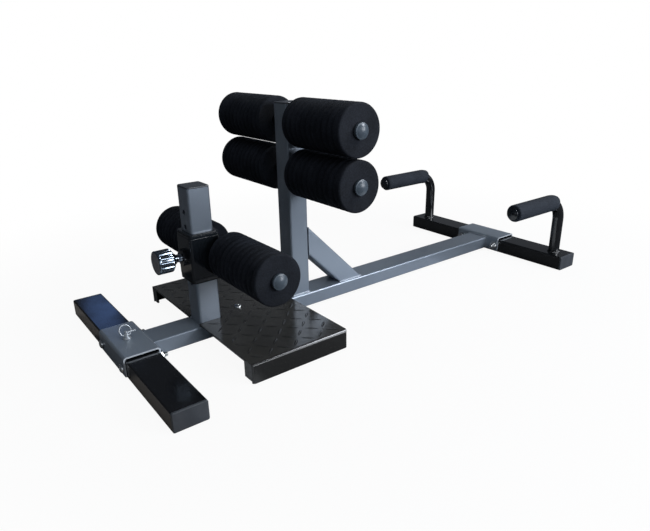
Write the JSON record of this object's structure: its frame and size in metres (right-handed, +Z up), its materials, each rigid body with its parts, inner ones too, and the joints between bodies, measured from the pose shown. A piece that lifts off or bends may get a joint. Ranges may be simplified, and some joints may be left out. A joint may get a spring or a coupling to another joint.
{
  "type": "sissy squat machine",
  "caption": "Low steel frame with a tread foot plate, foam rollers that hold the ankles and calves, a height carriage locked by a pull pin, and bent push-up handles.",
  "frame": {"origin": "on the floor, halfway between the two foot bars and on the middle of the machine's width", "axes": "+X across the machine, +Y along the beam towards the push-up handles, +Z up; the ankle rollers and the pull knob look towards -Y"},
  "size_m": [0.525, 1.1114, 0.4455],
  "materials": {
    "grey_paint": "satin",
    "black_paint": "gloss",
    "tread_black": "gloss",
    "black_foam": "matte",
    "black_plastic": "satin",
    "grey_plastic": "satin",
    "zinc": "satin",
    "chrome": "polished",
    "spring_steel": "satin"
  },
  "bodies": {
    "machine": {"main_beam": "grey_paint", "front_foot_bar": "black_paint", "front_foot_cap_left": "black_plastic", "front_foot_cap_right": "black_plastic", "rear_foot_bar": "black_paint", "rear_foot_cap_left": "black_plastic", "rear_foot_cap_right": "black_plastic", "front_bracket": "grey_paint", "rear_bracket": "grey_paint", "front_bracket_bolt_left": "zinc", "front_bracket_bolt_right": "zinc", "front_bracket_nut_left": "zinc", "front_bracket_nut_right": "zinc", "rear_bracket_bolt_left": "zinc", "rear_bracket_bolt_right": "zinc", "rear_bracket_nut_left": "zinc", "rear_bracket_nut_right": "zinc", "short_post": "grey_paint", "short_post_cap": "black_plastic", "tall_post": "grey_paint", "tall_post_cap": "black_plastic", "brace": "grey_paint", "foot_plate": "tread_black", "foot_plate_screw": "zinc", "upper_roller_bar": "black_paint", "upper_roller_plug_left": "grey_plastic", "upper_roller_plug_right": "grey_plastic", "lower_roller_bar": "black_paint", "lower_roller_plug_left": "grey_plastic", "lower_roller_plug_right": "grey_plastic", "handle_left": "black_paint", "handle_right": "black_paint", "handle_grip_left": "black_foam", "handle_grip_right": "black_foam", "handle_plug_left": "grey_plastic", "handle_plug_right": "grey_plastic"},
    "carriage": {"carriage_sleeve": "black_paint", "sleeve_bushing_top": "black_plastic", "sleeve_bushing_bottom": "black_plastic", "pop_pin_nut": "black_paint", "pop_pin_barrel": "chrome", "pop_pin_spring": "spring_steel", "ankle_roller_bar": "black_paint", "ankle_roller_plug_left": "grey_plastic", "ankle_roller_plug_right": "grey_plastic"},
    "pull_pin": {"pop_pin_plunger": "chrome", "pop_pin_knob": "chrome"},
    "ankle_foam_left": {"ankle_roller_left": "black_foam"},
    "ankle_foam_right": {"ankle_roller_right": "black_foam"},
    "upper_foam_left": {"upper_roller_left": "black_foam"},
    "upper_foam_right": {"upper_roller_right": "black_foam"},
    "lower_foam_left": {"lower_roller_left": "black_foam"},
    "lower_foam_right": {"lower_roller_right": "black_foam"},
    "lift_pin": {"lock_pin": "chrome"},
    "ring": {"pull_ring": "chrome"}
  },
  "joints": [
    {"name": "carriage_slide", "type": "slide", "parent": "machine", "child": "carriage", "axis": [0, 0, 1], "range_m": [-0.056, 0.084]},
    {"name": "pull_pin_slide", "type": "slide", "parent": "carriage", "child": "pull_pin", "axis": [0, 1, 0], "range_m": [0, 0.007]},
    {"name": "ankle_roller_left_spin", "type": "hinge", "parent": "carriage", "child": "ankle_foam_left", "pos_m": [-0.1265, -0.3192, 0.1685], "axis": [1, 0, 0], "continuous": true},
    {"name": "ankle_roller_right_spin", "type": "hinge", "parent": "carriage", "child": "ankle_foam_right", "pos_m": [0.1265, -0.3192, 0.1685], "axis": [1, 0, 0], "continuous": true},
    {"name": "upper_roller_left_spin", "type": "hinge", "parent": "machine", "child": "upper_foam_left", "pos_m": [-0.128, -0.145, 0.3994], "axis": [1, 0, 0], "continuous": true},
    {"name": "upper_roller_right_spin", "type": "hinge", "parent": "machine", "child": "upper_foam_right", "pos_m": [0.128, -0.145, 0.3994], "axis": [1, 0, 0], "continuous": true},
    {"name": "lower_roller_left_spin", "type": "hinge", "parent": "machine", "child": "lower_foam_left", "pos_m": [-0.128, -0.145, 0.3022], "axis": [1, 0, 0], "continuous": true},
    {"name": "lower_roller_right_spin", "type": "hinge", "parent": "machine", "child": "lower_foam_right", "pos_m": [0.128, -0.145, 0.3022], "axis": [1, 0, 0], "continuous": true},
    {"name": "lock_pin_lift", "type": "slide", "parent": "machine", "child": "lift_pin", "axis": [0, 0, 1], "range_m": [0, 0.025]},
    {"name": "pull_ring_swing", "type": "hinge", "parent": "lift_pin", "child": "ring", "pos_m": [0, -0.5195, 0.0475], "axis": [0, 1, 0], "range_deg": [-70, 5]}
  ]
}
